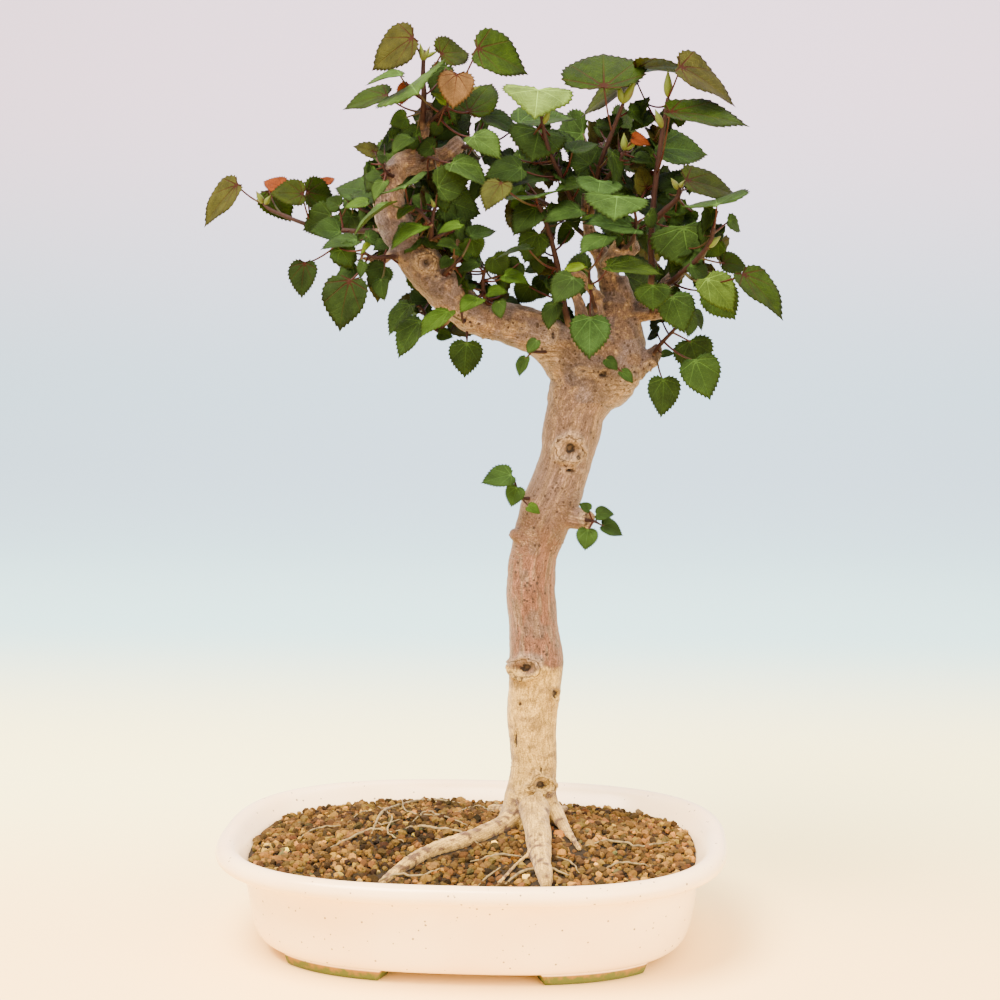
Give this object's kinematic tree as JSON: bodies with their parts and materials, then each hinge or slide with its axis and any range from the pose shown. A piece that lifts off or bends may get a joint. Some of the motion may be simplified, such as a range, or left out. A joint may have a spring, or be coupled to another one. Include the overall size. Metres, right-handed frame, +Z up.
{
  "type": "potted sea hibiscus bonsai",
  "caption": "Small tree with a bare trunk forking into a crown of heart-shaped toothed leaves, rooted in clay granules in a glazed oval footed pot.",
  "frame": {"origin": "on the surface that the pot stands on, under the middle of the whole plant and pot", "axes": "+X along the pot towards the side that the tree's top leans to, +Y away from the front, +Z up"},
  "size_m": [0.2898, 0.189, 0.4497],
  "materials": {
    "pot_glaze": "gloss",
    "netting": "matte",
    "clay_granules": "matte",
    "bark": "matte",
    "foliage": "satin"
  },
  "bodies": {
    "root": {"drain_net_left": "netting", "drain_net_right": "netting", "pot": "pot_glaze", "shoot_back_fork": "foliage", "shoot_back_left": "foliage", "shoot_back_low": "foliage", "shoot_back_middle": "foliage", "shoot_back_right": "foliage", "shoot_back_top": "foliage", "shoot_branch_top": "foliage", "shoot_centre": "foliage", "shoot_fork": "foliage", "shoot_front_mid": "foliage", "shoot_head": "foliage", "shoot_head_front": "foliage", "shoot_head_left": "foliage", "shoot_left_low": "foliage", "shoot_left_nub": "foliage", "shoot_left_tip": "foliage", "shoot_left_upper": "foliage", "shoot_low_left": "foliage", "shoot_mid": "foliage", "shoot_mid_right": "foliage", "shoot_right": "foliage", "shoot_right_front": "foliage", "shoot_right_low": "foliage", "shoot_right_top": "foliage", "shoot_top_left": "foliage", "shoot_top_mid": "foliage", "shoot_upper_left": "foliage", "shoot_upper_right": "foliage", "soil": "clay_granules", "sprout_branch_front": "foliage", "sprout_branch_low": "foliage", "sprout_fork_left": "foliage", "sprout_fork_right": "foliage", "sprout_trunk_left": "foliage", "sprout_trunk_right": "foliage", "trunk": "bark"}
  },
  "joints": []
}
